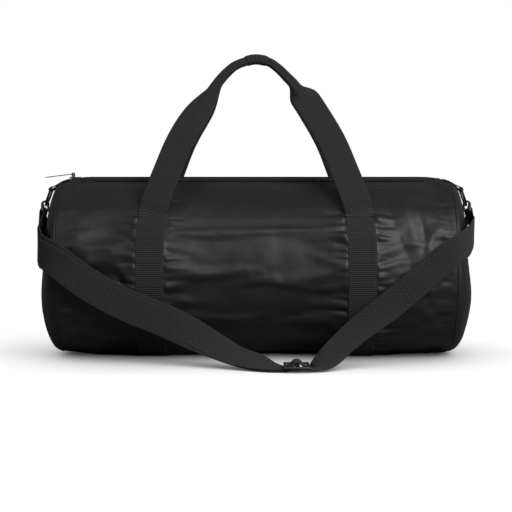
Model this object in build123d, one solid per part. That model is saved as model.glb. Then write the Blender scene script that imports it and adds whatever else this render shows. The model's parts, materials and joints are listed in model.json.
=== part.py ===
from build123d import *
import math
import os

# Barrel duffel bag, all sizes in millimetres.
# Frame: X along the barrel, -Y the front, +Z up, origin at the centre of the flat base.

# ---- bag body ----
BARREL_RADIUS = 126.0
AXIS_HEIGHT = 122.0
SEAM_X = 270.0
CAP_BULGE = 20.0
SHELL = 3.0
BINDING_THICK = 1.2
BINDING_WIDTH = 8.0

# ---- carry handles and the webbing bands sewn round the barrel ----
WEBBING_WIDTH = 38.0
WEBBING_THICK = 1.6
BAND_X = 142.0
BAND_GROOVE = 1.7
BAND_CLEARANCE = 0.1
HINGE_HEIGHT = 204.0
HINGE_STANDOFF = 1.2
HANDLE_LEAN = 23.0
GRIP_WIDTH = 19.0
GRIP_THICK = 4.0

# ---- top zipper ----
MOUTH_HALF = 262.0
SLOT_HALF = 7.5
TAPE_HALF = 14.0
TAPE_THICK = 0.7
CHAIN_GAP = 0.8
COIL_WIDTH = 2.6
COIL_HEIGHT = 1.6
SLIDER_X = -253.0
SLIDER_LENGTH = 15.0
SLIDER_HALF = 5.5
SLIDER_PLATE = 1.4
PIVOT_X = -256.0
PIVOT_Z = 252.5
PIN_RADIUS = 0.9
PULLER_LENGTH = 39.0
PULLER_WIDTH = 6.0
PULLER_THICK = 1.2
PULLER_DROOP = 7.0
PULLER_NECK = 3.2
PULLER_EYE = 2.0
CHAIN_CLEARANCE = 0.3
WEB_LENGTH = 4.0
WEB_WIDTH = 1.0
FLANGE_THICK = 1.2
LUG_OFFSET = 3.2
LUG_LENGTH = 4.4
STOP_LENGTH = 3.0
STOP_WIDTH = 8.4
STOP_HEIGHT = 1.8

# ---- D-rings, snap hooks and shoulder strap ----
TAB_WIDTH = 24.6
TAB_THICK = 1.6
TAB_LOW = 244.0
TAB_CLEARANCE = 0.2
TAB_REACH = 40.0
BAR_GAP = 0.3
DRING_WIRE = 1.5
DRING_HALF = 14.0
DRING_X = 286.6
DRING_BAR_Z = 231.0
DRING_LEG = 10.0
DRING_TILT = 20.0
HOOK_X = 295.0
HOOK_TILT = 35.0
HOOK_WIRE = 1.5
HOOK_HALF = 4.5
HOOK_CROWN = 8.3
GATE_WIRE = 1.2
YOKE_DROP = 23.0
BAR_DROP = 36.0
BAR_RADIUS = 2.2
BAR_HALF = 21.5
SHANK_RADIUS = 2.0
BOSS_RADIUS = 4.2
BOSS_HEIGHT = 4.6
FRAME_WIRE = 3.4
ADJUSTER_X = 53.0
ADJUSTER_Y = -175.0
ADJUSTER_LENGTH = 34.0
ADJUSTER_DEPTH = 48.0
ADJUSTER_THICK = 3.0
ADJUSTER_LOW = 5.4
ADJUSTER_BAR = 4.0
ADJUSTER_SLOT = 39.4
LAYER_GAP = 2.2
RETURN_SHIFT = 6.0
SECTION_STEP = 9.0

BIG = 4.0 * BARREL_RADIUS
FABRIC_TOP = AXIS_HEIGHT + BARREL_RADIUS - SHELL
GRIP_FOLD_START = 150.0
GRIP_FOLD_LENGTH = 50.0
ARC_CENTRE_Z = DRING_BAR_Z - DRING_LEG


def write(shape, node):
    export_step(shape, "parts/" + node + ".step")


def section(inset):
    """The bag's outline across the barrel, drawn in by inset, flat underneath."""
    disc = Pos(0, AXIS_HEIGHT) * Circle(BARREL_RADIUS - inset)
    above = Pos(0, inset + BIG / 2) * Rectangle(BIG, BIG)
    return Plane.YZ * (disc & above)


def barrel(inset, x_middle, length):
    """A stretch of the barrel, drawn in by inset."""
    return Pos(x_middle, 0, 0) * extrude(section(inset), amount=length / 2, both=True)


def sleeve(outer, inner, x_middle, length):
    """A stretch of wall between two insets of the barrel's outline."""
    return barrel(outer, x_middle, length) - barrel(inner, x_middle, length)


def dome(inset):
    """One domed end as a full solid of revolution, drawn in by inset, tipped by a small flat."""
    radius = BARREL_RADIUS - inset
    bulge = CAP_BULGE - inset
    turns = [math.radians(angle) for angle in range(0, 89, 8)]
    curve = [(SEAM_X + bulge * math.sin(a), radius * math.cos(a)) for a in turns]
    tip = (curve[-1][0], 0)
    edges = [Spline(*curve), Line(curve[-1], tip), Line(tip, (SEAM_X, 0)), Line((SEAM_X, 0), curve[0])]
    return Pos(0, 0, AXIS_HEIGHT) * revolve(make_face(edges), Axis.X)


def cap(outer, inner, side):
    """The wall of one domed end between two insets."""
    wall = dome(outer) - dome(inner) - Pos(SEAM_X, 0, -BIG / 2) * Box(BIG, BIG, BIG)
    return wall if side > 0 else mirror(wall, Plane.YZ)


def cap_base(side):
    """The flat underside of one end, where its dome is cut off."""
    half = math.sqrt(BARREL_RADIUS ** 2 - (AXIS_HEIGHT - SHELL) ** 2)
    points = []
    for step in range(-8, 9):
        y = half * math.sin(step * math.pi / 16)
        reach = 1 - (y * y + (AXIS_HEIGHT - SHELL) ** 2) / BARREL_RADIUS ** 2
        points.append((SEAM_X + CAP_BULGE * math.sqrt(max(reach, 0)), y))
    plate = extrude(make_face(Polyline(*points, close=True)), amount=SHELL)
    return plate if side > 0 else mirror(plate, Plane.YZ)


def rod(start, end, radius):
    """A round bar between two points."""
    line = Vector(*end) - Vector(*start)
    return extrude(Plane(Vector(*start), z_dir=line) * Circle(radius), amount=line.length)


def smooth_route(stations, step):
    """Points, facing directions and tangents along a Catmull-Rom curve through the stations."""
    places = [Vector(*place) for place, facing in stations]
    facings = [Vector(*facing).normalized() for place, facing in stations]
    places = [places[0] * 2 - places[1]] + places + [places[-1] * 2 - places[-2]]
    route = []
    for i in range(len(facings) - 1):
        a, b, c, d = places[i:i + 4]
        count = max(1, round((c - b).length / step))
        for k in range(count + (i == len(facings) - 2)):
            t = k / count
            point = (b * 2 + (c - a) * t + (a * 2 - b * 5 + c * 4 - d) * t ** 2
                     + (b * 3 - a - c * 3 + d) * t ** 3) * 0.5
            tangent = (c - a + (a * 2 - b * 5 + c * 4 - d) * 2 * t
                       + (b * 3 - a - c * 3 + d) * 3 * t ** 2) * 0.5
            facing = facings[i] * (1 - t) + facings[i + 1] * t
            route.append((point, facing.normalized(), tangent.normalized()))
    return route


def triangle(a, b, c):
    return Face(Wire.make_polygon([a, b, c], close=True))


def ribbon(stations, width, thick, step=SECTION_STEP):
    """Webbing of constant width and thickness along a route, with flat facets."""
    rings = []
    for point, facing, tangent in smooth_route(stations, step):
        across = facing.cross(tangent).normalized() * (width / 2)
        out = tangent.cross(across).normalized() * (thick / 2)
        rings.append([point + across + out, point - across + out,
                      point - across - out, point + across - out])
    faces = []
    for p, q in zip(rings, rings[1:]):
        for k in range(4):
            j = (k + 1) % 4
            if k < 2:
                faces += [triangle(p[k], p[j], q[j]), triangle(p[k], q[j], q[k])]
            else:
                faces += [triangle(p[k], p[j], q[k]), triangle(p[j], q[j], q[k])]
    for ring in (rings[0], rings[-1]):
        faces += [triangle(ring[0], ring[1], ring[2]), triangle(ring[0], ring[2], ring[3])]
    return Solid(Shell(faces))


# ---------------------------------------------------------------- bag body

def barrel_panel():
    """The long fabric panel, grooved for the webbing bands and open along the zipper."""
    panel = sleeve(0, SHELL, 0, 2 * SEAM_X)
    for side in (-1, 1):
        panel -= sleeve(-1, BAND_GROOVE, side * BAND_X, WEBBING_WIDTH + 1)
    slot = Box(2 * MOUTH_HALF + 5, 2 * SLOT_HALF, 3 * SHELL)
    return panel - Pos(0, 0, AXIS_HEIGHT + BARREL_RADIUS) * slot


def end_panel(side):
    return cap(0, SHELL, side) + cap_base(side)


def seam_binding(side):
    """The tape that covers the raw edges of the end seam, inside the bag."""
    middle = side * (SEAM_X - BINDING_WIDTH / 2)
    return sleeve(SHELL, SHELL + BINDING_THICK, middle, BINDING_WIDTH)


def zipper_tape(side):
    """One zipper tape under the mouth's edge; side is -1 for the front."""
    tape = sleeve(SHELL, SHELL + TAPE_THICK, 0, 2 * MOUTH_HALF - 2 * BINDING_WIDTH)
    width = TAPE_HALF - CHAIN_GAP
    keep = Box(BIG * 2, width, BIG)
    return tape & Pos(0, side * (CHAIN_GAP + width / 2), AXIS_HEIGHT + BIG / 2) * keep


def zipper_coil(side):
    """One row of zipper coil as a plain strip."""
    strip = Box(2 * MOUTH_HALF - 2 * BINDING_WIDTH, COIL_WIDTH, COIL_HEIGHT)
    height = FABRIC_TOP + COIL_HEIGHT / 2
    return Pos(0, side * (CHAIN_GAP + COIL_WIDTH / 2), height) * strip


def zipper_stops():
    """A crimped metal stop across the chain at each end."""
    middle = MOUTH_HALF - BINDING_WIDTH + STOP_LENGTH / 2 + 0.1
    places = [Pos(side * middle, 0, FABRIC_TOP + STOP_HEIGHT / 2) for side in (-1, 1)]
    return [place * Box(STOP_LENGTH, STOP_WIDTH, STOP_HEIGHT) for place in places]


def handle_band(side):
    """Webbing sewn round under the barrel, from the front hinge line to the rear one."""
    outer = BAND_CLEARANCE
    band = sleeve(outer, outer + WEBBING_THICK, side * BAND_X, WEBBING_WIDTH)
    return band - Pos(0, 0, HINGE_HEIGHT + BIG / 2) * Box(BIG * 2, BIG, BIG)


# ---------------------------------------------------------------- handles

def handle_outline(offset, points):
    """The handle's centre line in its own plane, moved sideways by offset."""
    moved = []
    route = smooth_route([((x, s, 0), (0, 0, 1)) for x, s in points], 8)
    for point, facing, tangent in route:
        width = offset(point.Y)
        across = facing.cross(tangent)
        moved.append(point + across * width)
    return moved


def half_width(height):
    """Half the webbing's width: full near the hinge, folded in two at the grip."""
    fold = min(1.0, max(0.0, (height - GRIP_FOLD_START) / GRIP_FOLD_LENGTH))
    fold = fold * fold * (3 - 2 * fold)
    return (WEBBING_WIDTH * (1 - fold) + GRIP_WIDTH * fold) / 2


def handle_points(side):
    """The loop from one sewn end over the top to the other, sideways and up its plane."""
    rising = [(144, -24), (139, 2), (131, 28), (121, 57), (103, 104), (77, 152), (55, 190), (31, 214)]
    falling = [(-x, s) for x, s in reversed(rising)]
    return rising + [(0, 226)] + falling


def handle(side):
    """A webbing carry handle; side is -1 for the front one."""
    points = handle_points(side)
    outer = handle_outline(lambda s: half_width(s), points)
    inner = handle_outline(lambda s: -half_width(s), points)
    profile = make_face(Polyline(*(outer + list(reversed(inner))), close=True))
    legs = extrude(profile, amount=WEBBING_THICK / 2, both=True)
    fold = extrude(profile, amount=GRIP_THICK / 2, both=True)
    fold &= Pos(0, 182 + BIG / 2, 0) * Box(BIG, BIG, BIG)
    loop = (legs + fold) & Pos(0, 0.3 + BIG / 2, 0) * Box(BIG, BIG, BIG)
    hinge_radius = BARREL_RADIUS + HINGE_STANDOFF
    hinge_y = math.sqrt(hinge_radius ** 2 - (HINGE_HEIGHT - AXIS_HEIGHT) ** 2)
    lean = math.radians(HANDLE_LEAN)
    upward = Vector(0, math.sin(lean), math.cos(lean))
    normal = Vector(1, 0, 0).cross(upward)
    placed = Plane(Vector(0, -hinge_y, HINGE_HEIGHT), x_dir=(1, 0, 0), z_dir=normal) * loop
    return placed if side < 0 else mirror(placed, Plane.XZ)


# ---------------------------------------------------------------- zipper slider

def slider_body():
    """Top and bottom plates joined by a web between the tapes, with the puller's pin."""
    top = FABRIC_TOP + COIL_HEIGHT + CHAIN_CLEARANCE
    low = FABRIC_TOP - TAPE_THICK - CHAIN_CLEARANCE - 0.2
    plate = Box(SLIDER_LENGTH, 2 * SLIDER_HALF, SLIDER_PLATE)
    body = Pos(SLIDER_X, 0, top + SLIDER_PLATE / 2) * plate
    body += Pos(SLIDER_X, 0, low - SLIDER_PLATE / 2) * plate
    web_x = SLIDER_X + (SLIDER_LENGTH - WEB_LENGTH - 1) / 2
    body += Pos(web_x, 0, (top + low) / 2) * Box(WEB_LENGTH, WEB_WIDTH, top - low + SLIDER_PLATE)
    for side in (-1, 1):
        flange = Box(SLIDER_LENGTH, FLANGE_THICK, SLIDER_PLATE)
        body += Pos(SLIDER_X, side * (SLIDER_HALF - FLANGE_THICK / 2), top - 0.6) * flange
        lug_height = PIVOT_Z + 1.6 - top
        lug = Box(LUG_LENGTH, FLANGE_THICK, lug_height)
        body += Pos(PIVOT_X, side * LUG_OFFSET, top + lug_height / 2) * lug
    pin_half = LUG_OFFSET + FLANGE_THICK / 2
    return body + rod((PIVOT_X, -pin_half, PIVOT_Z), (PIVOT_X, pin_half, PIVOT_Z), PIN_RADIUS)


def zip_puller():
    """The long pull, hanging from the slider's pin towards the near end of the bag."""
    eye = rod((0, -2.2, 0), (0, 2.2, 0), PULLER_EYE)
    neck = Pos(-4, 0, 0) * Box(8, PULLER_NECK, PULLER_THICK)
    blade_length = PULLER_LENGTH - 7
    blade = Pos(-7 - blade_length / 2, 0, 0) * Box(blade_length, PULLER_WIDTH, PULLER_THICK)
    hole = Pos(-PULLER_LENGTH + 5, 0, 0) * Cylinder(1.6, 3 * PULLER_THICK)
    pull = eye + neck + blade - hole - rod((0, -3, 0), (0, 3, 0), PIN_RADIUS + 0.25)
    return Pos(PIVOT_X, 0, PIVOT_Z) * Rot(0, -PULLER_DROOP, 0) * pull


# ---------------------------------------------------------------- end hardware

def tab_base(side):
    """The sewn part of the D-ring's webbing tab, over the top of the end seam."""
    ring = cap(-TAB_CLEARANCE - TAB_THICK, -TAB_CLEARANCE, side)
    middle = side * (SEAM_X + TAB_CLEARANCE + TAB_REACH / 2)
    keep = Pos(middle, 0, TAB_LOW + TAB_REACH / 4) * Box(TAB_REACH, TAB_WIDTH, TAB_REACH / 2)
    return ring & keep


def tab_loop(side):
    """The tab's free loop round the D-ring's bar."""
    outer = rod((0, -TAB_WIDTH / 2, 0), (0, TAB_WIDTH / 2, 0), DRING_WIRE + BAR_GAP + TAB_THICK)
    tail = Pos(0, 0, 4.5) * Box(2 * TAB_THICK, TAB_WIDTH, 6)
    loop = outer + tail - rod((0, -TAB_WIDTH, 0), (0, TAB_WIDTH, 0), DRING_WIRE + BAR_GAP)
    return Pos(side * DRING_X, 0, DRING_BAR_Z) * Rot(0, -side * DRING_TILT, 0) * loop


def dring(side):
    """A D-ring hanging by its straight bar, its round part pushed out by the hook."""
    ring = rod((0, -DRING_HALF, 0), (0, DRING_HALF, 0), DRING_WIRE)
    for y in (-DRING_HALF, DRING_HALF):
        ring += Pos(0, y, 0) * Sphere(DRING_WIRE)
        ring += rod((0, y, 0), (0, y, -DRING_LEG), DRING_WIRE)
    bow = Pos(0, 0, -DRING_LEG) * Rot(0, 90, 0) * Torus(DRING_HALF, DRING_WIRE)
    ring += bow & Pos(0, 0, -DRING_LEG - BIG / 2) * Box(BIG, BIG, BIG)
    return Pos(side * DRING_X, 0, DRING_BAR_Z) * Rot(0, -side * DRING_TILT, 0) * ring


def hook_place(side):
    """The snap hook's frame: -Z down the hook, from the middle of the D-ring's round part."""
    return Pos(side * HOOK_X, 0, ARC_CENTRE_Z) * Rot(-HOOK_TILT, 0, 0)


def snap_hook(side):
    """The swivelling hook: a bow through the D-ring, its inner leg, a yoke and the shank."""
    crown_z = -HOOK_CROWN - HOOK_HALF
    bow = Pos(0, 0, crown_z) * Rot(90, 0, 0) * Torus(HOOK_HALF, HOOK_WIRE)
    bow &= Pos(0, 0, crown_z + BIG / 2) * Box(BIG, BIG, BIG)
    inner = -side * HOOK_HALF
    hook = bow + rod((inner, 0, crown_z), (inner, 0, -YOKE_DROP), HOOK_WIRE)
    hook += Pos(0, 0, -YOKE_DROP) * Box(2 * HOOK_HALF + FRAME_WIRE, 4.4, 3)
    hook += rod((0, 0, -YOKE_DROP), (0, 0, -BAR_DROP + 6.4), SHANK_RADIUS)
    return hook_place(side) * hook


def gate(side):
    """The sprung gate that closes the hook's outer side."""
    outer = side * HOOK_HALF
    top = -HOOK_CROWN - HOOK_HALF - 0.3
    low = -YOKE_DROP + 1.8
    pin = rod((outer, 0, low), (outer, 0, top), GATE_WIRE)
    return hook_place(side) * pin


def hook_base(side):
    """The frame that carries the hook's swivel above and the webbing's bar below."""
    boss_top = -YOKE_DROP - 1.9
    boss = rod((0, 0, boss_top), (0, 0, boss_top - BOSS_HEIGHT), BOSS_RADIUS)
    rail_z = boss_top - 2.8
    height = rail_z + BAR_DROP
    middle = Pos(0, 0, rail_z - height / 2)
    frame = middle * Box(FRAME_WIRE, 2 * BAR_HALF + FRAME_WIRE, height + FRAME_WIRE)
    frame -= middle * Box(3 * FRAME_WIRE, 2 * BAR_HALF - FRAME_WIRE, height - FRAME_WIRE)
    frame += boss
    frame -= rod((0, 0, boss_top + 1), (0, 0, boss_top - BOSS_HEIGHT - 1), SHANK_RADIUS + 0.3)
    return hook_place(side) * frame


# ---------------------------------------------------------------- shoulder strap

def bar_wrap(side, turns):
    """Stations round the hook's bar, by angle from the outer side over the bar's hook side."""
    lean = math.radians(HOOK_TILT)
    down = Vector(0, -math.sin(lean), -math.cos(lean))
    middle = Vector(side * HOOK_X, 0, ARC_CENTRE_Z) + down * BAR_DROP
    reach = BAR_RADIUS + 0.6 + WEBBING_THICK / 2
    stations = []
    for angle in turns:
        turn = math.radians(angle)
        out = Vector(side, 0, 0) * math.cos(turn) - down * math.sin(turn)
        place = middle + out * reach
        stations.append(((place.X, place.Y, place.Z), (out.X, out.Y, out.Z)))
    return stations


LEFT_RUN = [((-298.6, -32, 172), (-1, 0, 0)), ((-298, -58, 162), (-1, 0, 0)),
            ((-294, -88, 154), (-0.94, -0.34, 0)), ((-285.5, -118.5, 148), (-0.75, -0.66, 0)),
            ((-267.5, -133.8, 140), (-0.35, -0.94, 0)), ((-243, -134.6, 121), (0, -1, 0)),
            ((-219, -134, 104), (0, -1, 0)), ((-189, -134, 87), (0, -1, 0)),
            ((-161, -134, 74), (0, -1, -0.05)), ((-119, -135.5, 57), (0, -1, -0.1)),
            ((-84, -139, 41), (0, -1, 0.05)), ((-52, -146, 27), (0, -1, 0.35)),
            ((-26, -156, 17), (0, -0.85, 0.75)), ((0, -167, 11.2), (0, -0.4, 1)),
            ((18, -173, 6.4), (0, -0.1, 1)), ((32, -175, 4.3), (0, 0, 1))]

RIGHT_RUN = [((79, -174, 4), (0, 0, 1)), ((93, -164, 13), (0, -0.5, 1)),
             ((112, -149, 30), (0, -0.9, 0.6)), ((136, -139, 50), (0, -1, 0.15)),
             ((161, -135, 69), (0, -1, 0)), ((185, -133, 87), (0, -1, 0)),
             ((212, -133, 110), (0, -1, 0)), ((237, -132, 132), (0, -1, 0)),
             ((262, -130, 152), (0.35, -0.94, 0)), ((280, -118, 163), (0.75, -0.66, 0)),
             ((291, -92, 171), (0.94, -0.34, 0)), ((297.6, -62, 177), (1, 0, 0)),
             ((298.6, -40, 178.5), (1, 0, 0))]

THROUGH_ADJUSTER = [((40.5, -175, 4.2), (-0.3, 0, 1)), ((50, -175, 12.2), (-0.4, 0, 1)),
                    ((57, -175, 12), (0.4, 0, 1)), ((64.8, -175, 4.4), (0.3, 0, 1)),
                    ((70.5, -175, 3.8), (0, 0, 1))]

ROUND_CENTRE_BAR = [((41, -175, 2.0), (0.3, 0, -1)), ((49.3, -175, 9.2), (0.5, 0, -1)),
                    ((53, -175, 9.7), (0, 0, -1)), ((55.6, -175, 9), (-0.7, 0, -0.7)),
                    ((56.3, -175, 6.9), (-1, 0, 0)), ((55.6, -175, 4.8), (-0.7, 0, 0.7)),
                    ((53.5, -175, 4.2), (0, 0, 1)), ((51, -175, 4.2), (0, 0, 1))]


def return_run():
    """The webbing's second layer, behind the first, set a little higher and facing the other way."""
    route = []
    for place, facing in LEFT_RUN[1:]:
        out = Vector(*facing).normalized()
        lift = RETURN_SHIFT * max(0.0, min(1.0, (place[2] - 10) / 30))
        moved = Vector(*place) - out * LAYER_GAP + Vector(0, 0, lift)
        route.append(((moved.X, moved.Y, moved.Z), (-out.X, -out.Y, -out.Z)))
    return route


def shoulder_strap():
    """The whole webbing, from the right bar to the left one and back to the adjuster."""
    stations = bar_wrap(1, range(180, -1, -30)) + list(reversed(RIGHT_RUN))
    stations += list(reversed(THROUGH_ADJUSTER)) + list(reversed(LEFT_RUN))
    stations += bar_wrap(-1, range(0, 181, 30)) + return_run() + ROUND_CENTRE_BAR
    return ribbon(stations, WEBBING_WIDTH, WEBBING_THICK)


def strap_adjuster():
    """A three-bar slide lying on the floor in front of the bag."""
    frame = Box(ADJUSTER_LENGTH, ADJUSTER_DEPTH, ADJUSTER_THICK)
    slot_length = (ADJUSTER_LENGTH - 3 * ADJUSTER_BAR) / 2
    for side in (-1, 1):
        middle = side * (ADJUSTER_BAR + slot_length) / 2
        frame -= Pos(middle, 0, 0) * Box(slot_length, ADJUSTER_SLOT, 3 * ADJUSTER_THICK)
    return Pos(ADJUSTER_X, ADJUSTER_Y, ADJUSTER_LOW + ADJUSTER_THICK / 2) * frame


SIDES = {"left": -1, "right": 1}
FACES = {"front": -1, "rear": 1}

os.makedirs("parts", exist_ok=True)
write(barrel_panel(), "barrel_panel")
write(Compound(zipper_stops()), "zipper_stops")
write(slider_body(), "zipper_slider")
write(zip_puller(), "zipper_puller")
write(shoulder_strap(), "shoulder_strap")
write(strap_adjuster(), "strap_adjuster")
for name, side in SIDES.items():
    write(end_panel(side), "end_panel_" + name)
    write(seam_binding(side), "seam_binding_" + name)
    write(handle_band(side), "handle_band_" + name)
    write(tab_base(side), "dring_tab_" + name)
    write(tab_loop(side), "dring_tab_loop_" + name)
    write(dring(side), "dring_" + name)
    write(snap_hook(side), "snap_hook_" + name)
    write(gate(side), "hook_gate_" + name)
    write(hook_base(side), "hook_base_" + name)
for name, side in FACES.items():
    write(zipper_tape(side), "zipper_tape_" + name)
    write(zipper_coil(side), "zipper_coil_" + name)
    write(handle(side), "handle_" + name)
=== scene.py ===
import json
import math

import bmesh
import bpy
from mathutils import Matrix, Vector, noise
from mathutils.bvhtree import BVHTree

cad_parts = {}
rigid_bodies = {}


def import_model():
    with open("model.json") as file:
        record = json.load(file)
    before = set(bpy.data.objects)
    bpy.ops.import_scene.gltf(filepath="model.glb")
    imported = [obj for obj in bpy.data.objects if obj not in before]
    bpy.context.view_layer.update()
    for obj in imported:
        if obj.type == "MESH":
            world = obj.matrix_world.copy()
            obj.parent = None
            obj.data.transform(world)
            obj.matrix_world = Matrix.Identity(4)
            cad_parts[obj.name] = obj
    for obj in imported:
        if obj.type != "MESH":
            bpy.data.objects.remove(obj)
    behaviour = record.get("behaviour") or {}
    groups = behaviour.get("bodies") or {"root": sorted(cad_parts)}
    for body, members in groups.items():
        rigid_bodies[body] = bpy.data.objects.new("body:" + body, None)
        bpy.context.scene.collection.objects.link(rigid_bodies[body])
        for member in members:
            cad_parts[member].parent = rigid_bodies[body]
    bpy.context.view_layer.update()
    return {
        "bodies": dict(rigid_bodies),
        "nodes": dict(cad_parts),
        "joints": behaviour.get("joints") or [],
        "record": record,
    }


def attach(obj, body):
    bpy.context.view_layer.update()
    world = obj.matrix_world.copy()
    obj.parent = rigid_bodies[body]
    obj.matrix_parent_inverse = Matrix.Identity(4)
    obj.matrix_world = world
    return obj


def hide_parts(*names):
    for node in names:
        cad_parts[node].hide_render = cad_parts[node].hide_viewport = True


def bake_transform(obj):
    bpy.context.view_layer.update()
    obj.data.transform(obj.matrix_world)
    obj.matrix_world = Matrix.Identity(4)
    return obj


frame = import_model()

MM = 0.001
TAU = 2 * math.pi

# ---- the bag's driving sizes, in metres, as in the CAD model ----
RADIUS = 126 * MM
AXIS = 122 * MM
SEAM = 270 * MM
END_RADIUS = 117 * MM
TAPER_START = 212 * MM
TOP_TAPER = 8 * MM
MOUTH = 6.4 * MM
BAND_X = 142 * MM
WEBBING = 38 * MM
WEB_THICK = 1.8 * MM
HINGE_Z = 204 * MM
HANDLE_LEAN = math.radians(23)
HANDLE_RADIUS = 127.2 * MM
HINGE_Y = math.sqrt(HANDLE_RADIUS ** 2 - (HINGE_Z - AXIS) ** 2)
CHAIN_HALF = 254 * MM
CHAIN_Z = 245.8 * MM
SIDES = {"left": -1, "right": 1}
FACES = {"front": -1, "rear": 1}


# ------------------------------------------------------------------ helpers

def smooth(t):
    """Ease from 0 to 1, flat at both ends."""
    t = min(1.0, max(0.0, t))
    return t * t * (3 - 2 * t)


def mix(a, b, t):
    """The number at share t of the way from a to b."""
    return a + (b - a) * t


def new_mesh(name, points, faces, uvs=None, flat=False):
    """A mesh object from points and faces; uvs is one pair for each face corner, in order."""
    mesh = bpy.data.meshes.new(name)
    mesh.from_pydata([tuple(p) for p in points], [], faces)
    if uvs:
        layer = mesh.uv_layers.new(name="cloth")
        for i, pair in enumerate(uvs):
            layer.data[i].uv = pair
    if not flat:
        mesh.polygons.foreach_set("use_smooth", [True] * len(mesh.polygons))
    mesh.update()
    obj = bpy.data.objects.new(name, mesh)
    bpy.context.scene.collection.objects.link(obj)
    return obj


def finish_piece(obj, body, slot, material, *replaced):
    """Give a piece its material and its body (None leaves it without one); the slot argument is not
    used.
    """
    obj.data.materials.clear()
    obj.data.materials.append(material)
    if body:
        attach(obj, body)
    if replaced:
        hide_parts(*replaced)
    return obj


def apply_modifiers(obj):
    """Replace the mesh by its evaluated form and drop the modifiers."""
    graph = bpy.context.evaluated_depsgraph_get()
    mesh = bpy.data.meshes.new_from_object(obj.evaluated_get(graph))
    obj.modifiers.clear()
    obj.data = mesh
    return obj


def grid_faces(rows, columns, wrap=False):
    """Four-sided faces over a grid of points; wrap closes each row on itself."""
    faces = []
    for i in range(rows - 1):
        for j in range(columns if wrap else columns - 1):
            k = (j + 1) % columns
            faces.append((i * columns + j, (i + 1) * columns + j,
                          (i + 1) * columns + k, i * columns + k))
    return faces


def route_points(stations, step):
    """Points, facings and tangents along a Catmull-Rom curve, as in the CAD model."""
    places = [Vector(p) * MM for p, n in stations]
    facings = [Vector(n).normalized() for p, n in stations]
    places = [places[0] * 2 - places[1]] + places + [places[-1] * 2 - places[-2]]
    route = []
    for i in range(len(facings) - 1):
        a, b, c, d = places[i:i + 4]
        count = max(1, round((c - b).length / step))
        for k in range(count + (i == len(facings) - 2)):
            t = k / count
            point = (b * 2 + (c - a) * t + (a * 2 - b * 5 + c * 4 - d) * t ** 2
                     + (b * 3 - a - c * 3 + d) * t ** 3) * 0.5
            tangent = (c - a + (a * 2 - b * 5 + c * 4 - d) * 2 * t
                       + (b * 3 - a - c * 3 + d) * 3 * t ** 2) * 0.5
            facing = facings[i].lerp(facings[i + 1], t).normalized()
            route.append((point, facing, tangent.normalized()))
    return route


def strip_ring(width, thick, across):
    """A webbing's cross-section: a flat strip with rounded edges, as (sideways, out) pairs."""
    half = width / 2 - thick / 2
    top = [(mix(half, -half, k / across), thick / 2) for k in range(across + 1)]
    ring = list(top)
    for k in range(1, 4):
        turn = math.pi / 2 + k * math.pi / 4
        ring.append((-half + math.cos(turn) * thick / 2, math.sin(turn) * thick / 2))
    ring += [(-w, -n) for w, n in top]
    for k in range(1, 4):
        turn = -math.pi / 2 + k * math.pi / 4
        ring.append((half + math.cos(turn) * thick / 2, math.sin(turn) * thick / 2))
    return ring


def sweep(name, frames, ring_at):
    """Skin closed rings along frames of (point, across, out); UVs run in metres."""
    points = []
    lengths = []
    length = 0.0
    last = None
    for i, (point, across, out) in enumerate(frames):
        if last is not None:
            length += (point - last).length
        last = point
        lengths.append(length)
        ring = ring_at(i)
        points += [point + across * w + out * n for w, n in ring]
    count = len(ring_at(0))
    widths = [w for w, n in ring_at(0)]
    faces = []
    uvs = []
    for i in range(len(frames) - 1):
        for j in range(count):
            k = (j + 1) % count
            faces.append((i * count + j, i * count + k, (i + 1) * count + k, (i + 1) * count + j))
            uvs += [(lengths[i], widths[j]), (lengths[i], widths[k]),
                    (lengths[i + 1], widths[k]), (lengths[i + 1], widths[j])]
    for start, turn in ((0, 1), ((len(frames) - 1) * count, -1)):
        cap = [start + j for j in range(count)][::-turn]
        faces.append(cap)
        uvs += [(0.0, 0.0)] * count
    return new_mesh(name, points, faces, uvs)


def ribbon(name, route, width=WEBBING, thick=WEB_THICK):
    """Flat webbing along a route of (point, facing, tangent)."""
    frames = []
    for point, facing, tangent in route:
        across = facing.cross(tangent).normalized()
        out = tangent.cross(across).normalized()
        frames.append((point, across, out))
    ring = strip_ring(width, thick, 12)
    return sweep(name, frames, lambda i: ring)


def capsules(name, pairs, radius, sides=6):
    """Many short threads in one mesh: each a small spindle from one point to another."""
    points = []
    faces = []
    for a, b in pairs:
        axis = (b - a).normalized()
        side = axis.orthogonal().normalized()
        up = axis.cross(side)
        base = len(points)
        for t, r in ((0.0, 0.35), (0.2, 1.0), (0.8, 1.0), (1.0, 0.35)):
            centre = a.lerp(b, t)
            for k in range(sides):
                turn = TAU * k / sides
                points.append(centre + (side * math.cos(turn) + up * math.sin(turn)) * radius * r)
        for i in range(3):
            for k in range(sides):
                j = (k + 1) % sides
                faces.append((base + i * sides + k, base + i * sides + j,
                              base + (i + 1) * sides + j, base + (i + 1) * sides + k))
        faces.append([base + k for k in range(sides)][::-1])
        faces.append([base + 3 * sides + k for k in range(sides)])
    return new_mesh(name, points, faces)


def stitch_pairs(line, stitch=2.6 * MM, gap=0.9 * MM):
    """Split a polyline of points into stitches, each a pair of end points."""
    pairs = []
    lengths = [0.0]
    for a, b in zip(line, line[1:]):
        lengths.append(lengths[-1] + (b - a).length)
    total = lengths[-1]

    def at(s):
        for i in range(len(line) - 1):
            if s <= lengths[i + 1]:
                span = max(lengths[i + 1] - lengths[i], 1e-9)
                return line[i].lerp(line[i + 1], (s - lengths[i]) / span)
        return line[-1]

    s = gap
    while s + stitch < total:
        pairs.append((at(s), at(s + stitch)))
        s += stitch + gap
    return pairs


# ---------------------------------------------------------------- materials

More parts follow.
